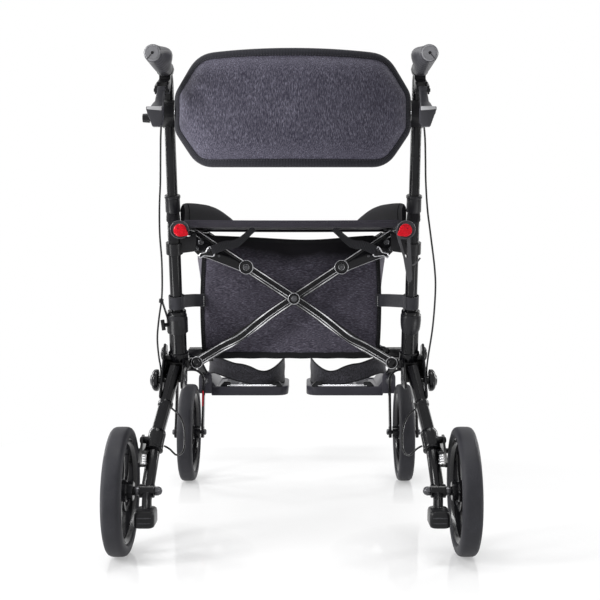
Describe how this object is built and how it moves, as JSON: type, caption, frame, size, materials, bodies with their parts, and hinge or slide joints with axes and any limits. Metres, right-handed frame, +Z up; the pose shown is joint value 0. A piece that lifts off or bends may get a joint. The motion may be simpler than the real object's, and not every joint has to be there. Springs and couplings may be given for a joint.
{
  "type": "rollator transport chair",
  "caption": "Folding rollator that turns into a transport chair, with swivel casters, sling seat, bag, backrest, brake levers and swing-down footplates.",
  "frame": {"origin": "on the floor under the middle of the bounding box", "axes": "+X to the right side as seen from behind, +Y in the walking direction, +Z up"},
  "size_m": [0.589, 1.047, 0.806],
  "materials": {
    "bar_metal": "satin black anodised",
    "casing": "smooth",
    "cushion": "melange weave, padded",
    "dark_plastic": "fine matt texture",
    "fabric": "melange weave",
    "frame_paint": "satin black paint",
    "grey_plastic": "satin",
    "grip_rubber": "matt",
    "reflector": "clear moulded",
    "steel": "plain",
    "tyre": "matt",
    "webbing": "ribbed weave"
  },
  "bodies": {
    "backrest": {"backrest_band": "dark_plastic", "backrest_pad": "cushion"},
    "brake_left": {"brake_arm_left": "dark_plastic"},
    "brake_right": {"brake_arm_right": "dark_plastic"},
    "caster_left": {"caster_fork_left": "frame_paint"},
    "caster_right": {"caster_fork_right": "frame_paint"},
    "caster_wheel_left": {"caster_rim_left": "dark_plastic", "caster_tyre_left": "tyre"},
    "caster_wheel_right": {"caster_rim_right": "dark_plastic", "caster_tyre_right": "tyre"},
    "footrest_left": {"footplate_left": "grey_plastic", "heel_strap_left": "webbing"},
    "footrest_right": {"footplate_right": "grey_plastic", "heel_strap_right": "webbing"},
    "handle_left": {"backrest_bracket_left": "dark_plastic", "grip_left": "grip_rubber", "handle_tube_left": "frame_paint", "lever_bracket_left": "dark_plastic"},
    "handle_right": {"backrest_bracket_right": "dark_plastic", "grip_right": "grip_rubber", "handle_tube_right": "frame_paint", "lever_bracket_right": "dark_plastic"},
    "latch": {"fold_latch": "grey_plastic"},
    "left_frame": {"bag": "fabric", "brake_cable_left": "casing", "brake_spring_left": "steel", "cover_knob_left": "dark_plastic", "footplate_hanger_left": "grey_plastic", "height_collar_left": "dark_plastic", "rail_bracket_left": "dark_plastic", "rear_axle_left": "steel", "rear_leg_left": "frame_paint", "side_frame_left": "frame_paint", "tube_clamp_left": "dark_plastic"},
    "lever_left": {"brake_lever_left": "grey_plastic"},
    "lever_right": {"brake_lever_right": "grey_plastic"},
    "plunger": {"backrest_plunger": "dark_plastic"},
    "rear_wheel_left": {"rear_rim_left": "dark_plastic", "rear_tyre_left": "tyre"},
    "rear_wheel_right": {"rear_rim_right": "dark_plastic", "rear_tyre_right": "tyre"},
    "right_frame": {"brake_cable_right": "casing", "brake_spring_right": "steel", "cover_knob_right": "dark_plastic", "footplate_hanger_right": "grey_plastic", "height_collar_right": "dark_plastic", "rail_bracket_right": "dark_plastic", "rear_axle_right": "steel", "rear_leg_right": "frame_paint", "side_frame_right": "frame_paint"},
    "x_frame_a": {"cross_bar_a": "bar_metal", "cross_pin": "steel", "rail_end_right": "grey_plastic", "reflector_right": "reflector", "seat": "webbing", "side_guard_right": "webbing"},
    "x_frame_b": {"cross_bar_b": "bar_metal", "rail_end_left": "grey_plastic", "reflector_left": "reflector", "side_guard_left": "webbing"}
  },
  "joints": [
    {"name": "frame_fold", "type": "hinge", "parent": "left_frame", "child": "x_frame_a", "pos_m": [-0.17198, -0.2095, 0.293], "axis": [0, -1, 0], "range_deg": [0, 33], "deforming": ["seat", "bag", "backrest_pad", "backrest_band"]},
    {"name": "frame_fold_cross", "type": "hinge", "parent": "x_frame_a", "child": "x_frame_b", "pos_m": [0, -0.2095, 0.4064], "axis": [0, -1, 0], "range_deg": [-66, 0]},
    {"name": "frame_fold_right", "type": "hinge", "parent": "x_frame_b", "child": "right_frame", "pos_m": [0.17198, -0.2095, 0.293], "axis": [0, -1, 0], "range_deg": [0, 33]},
    {"name": "footrest_turn_left", "type": "hinge", "parent": "left_frame", "child": "footrest_left", "pos_m": [-0.2095, 0.3435, 0.196], "axis": [0, -1, 0], "range_deg": [0, 87.45]},
    {"name": "handle_slide_left", "type": "slide", "parent": "left_frame", "child": "handle_left", "axis": [0, -0.2924, 0.9563], "range_m": [-0.03, 0.1], "deforming": ["brake_cable_left"]},
    {"name": "brake_lever_turn_left", "type": "hinge", "parent": "handle_left", "child": "lever_left", "pos_m": [-0.204, -0.4275, 0.741], "axis": [-1, 0, 0], "range_deg": [0, 20], "stiffness_Nm_per_rad": 0.5, "springref_deg": -5.73},
    {"name": "brake_arm_turn_left", "type": "hinge", "parent": "left_frame", "child": "brake_left", "pos_m": [-0.2498, -0.3225, 0.176], "axis": [-1, 0, 0], "range_deg": [0, 2.2], "deforming": ["brake_spring_left"]},
    {"name": "rear_wheel_spin_left", "type": "hinge", "parent": "left_frame", "child": "rear_wheel_left", "pos_m": [-0.277, -0.3725, 0.1025], "axis": [1, 0, 0], "continuous": true},
    {"name": "caster_swivel_left", "type": "hinge", "parent": "left_frame", "child": "caster_left", "pos_m": [-0.23, 0.2185, 0.2385], "axis": [0, 0, 1], "continuous": true},
    {"name": "caster_wheel_spin_left", "type": "hinge", "parent": "caster_left", "child": "caster_wheel_left", "pos_m": [-0.23, 0.1905, 0.1025], "axis": [1, 0, 0], "continuous": true},
    {"name": "footrest_turn_right", "type": "hinge", "parent": "right_frame", "child": "footrest_right", "pos_m": [0.2095, 0.3435, 0.196], "axis": [0, 1, 0], "range_deg": [0, 87.45]},
    {"name": "handle_slide_right", "type": "slide", "parent": "right_frame", "child": "handle_right", "axis": [0, -0.2924, 0.9563], "range_m": [-0.03, 0.1], "deforming": ["brake_cable_right"]},
    {"name": "brake_lever_turn_right", "type": "hinge", "parent": "handle_right", "child": "lever_right", "pos_m": [0.204, -0.4275, 0.741], "axis": [-1, 0, 0], "range_deg": [0, 20], "stiffness_Nm_per_rad": 0.5, "springref_deg": -5.73},
    {"name": "brake_arm_turn_right", "type": "hinge", "parent": "right_frame", "child": "brake_right", "pos_m": [0.2498, -0.3225, 0.176], "axis": [-1, 0, 0], "range_deg": [0, 2.2], "deforming": ["brake_spring_right"]},
    {"name": "rear_wheel_spin_right", "type": "hinge", "parent": "right_frame", "child": "rear_wheel_right", "pos_m": [0.277, -0.3725, 0.1025], "axis": [1, 0, 0], "continuous": true},
    {"name": "caster_swivel_right", "type": "hinge", "parent": "right_frame", "child": "caster_right", "pos_m": [0.23, 0.2185, 0.2385], "axis": [0, 0, 1], "continuous": true},
    {"name": "caster_wheel_spin_right", "type": "hinge", "parent": "caster_right", "child": "caster_wheel_right", "pos_m": [0.23, 0.1905, 0.1025], "axis": [1, 0, 0], "continuous": true},
    {"name": "backrest_turn", "type": "hinge", "parent": "handle_left", "child": "backrest", "pos_m": [0, -0.3545, 0.715], "axis": [-1, 0, 0], "range_deg": [0, 180]},
    {"name": "plunger_slide", "type": "slide", "parent": "handle_left", "child": "plunger", "axis": [-1, 0, 0], "range_m": [0, 0.006], "stiffness_N_per_m": 300, "springref_m": -0.005},
    {"name": "fold_latch_turn", "type": "hinge", "parent": "x_frame_a", "child": "latch", "pos_m": [0.18033, -0.3375, 0.5253], "axis": [0, 1, 0], "range_deg": [-45, 45]}
  ],
  "couplings": [
    {"joint": "frame_fold_cross", "follows": "frame_fold", "ratio": -2},
    {"joint": "frame_fold_right", "follows": "frame_fold", "ratio": 1},
    {"joint": "footrest_turn_left", "follows": "frame_fold", "ratio": 2.65},
    {"joint": "footrest_turn_right", "follows": "frame_fold", "ratio": 2.65},
    {"joint": "handle_slide_right", "follows": "handle_slide_left", "ratio": 1},
    {"joint": "brake_arm_turn_left", "follows": "brake_lever_turn_left", "ratio": 0.11},
    {"joint": "brake_arm_turn_right", "follows": "brake_lever_turn_right", "ratio": 0.11}
  ]
}
